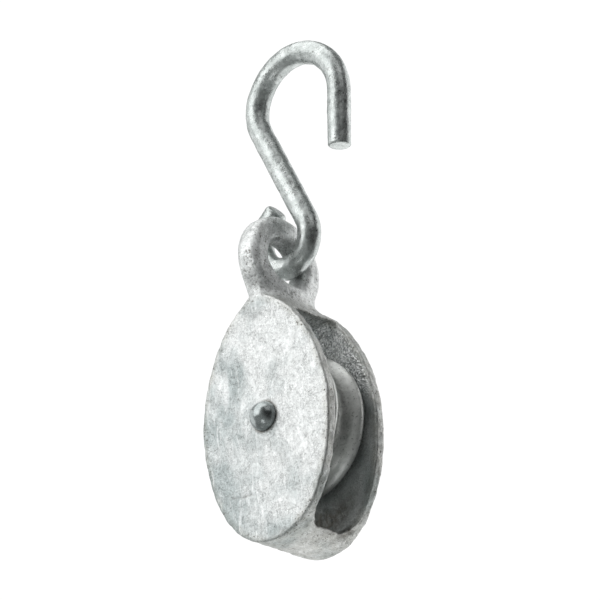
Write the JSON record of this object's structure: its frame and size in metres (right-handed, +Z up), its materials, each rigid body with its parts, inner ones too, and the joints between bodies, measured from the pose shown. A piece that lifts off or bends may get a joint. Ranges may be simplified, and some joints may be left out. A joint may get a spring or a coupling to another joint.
{
  "type": "pulley block",
  "caption": "Galvanised single-sheave pulley block: a cast shell with an integral eye, a grooved sheave on a riveted axle, and a round-bar S-hook to hang it by.",
  "frame": {"origin": "the S-hook's throat: the lowest point of the upper bend's inside surface, where the hook bears on the bar or ring that holds it", "axes": "+Z up, +Y along the axle from the domed rivet head to the hammered end, +X towards the hook's tail, with the hook's centre line in the XZ plane"},
  "size_m": [0.0612, 0.036, 0.1808],
  "materials": {
    "hook_zinc": "hot-dip galvanised round bar, satin silver with small lumps and darker flecks",
    "cast_zinc": "hot-dip galvanised casting, mottled pale grey, lumpy and pitted",
    "sheave_zinc": "dull galvanised casting, satin mid grey",
    "rivet_steel": "smooth bright plated dome"
  },
  "bodies": {
    "hook": {"s_hook": "hook_zinc"},
    "block": {"shell": "cast_zinc", "axle_rivet": "rivet_steel"},
    "sheave": {"sheave": "sheave_zinc"}
  },
  "joints": [
    {"name": "block_swing", "type": "hinge", "parent": "hook", "child": "block", "pos_m": [-0.01048, -0.0043, -0.06041], "axis": [0, 1, 0], "range_deg": [-105, 130]},
    {"name": "sheave_spin", "type": "hinge", "parent": "block", "child": "sheave", "pos_m": [-0.0111, -0.0043, -0.1294], "axis": [0, 1, 0], "continuous": true}
  ]
}
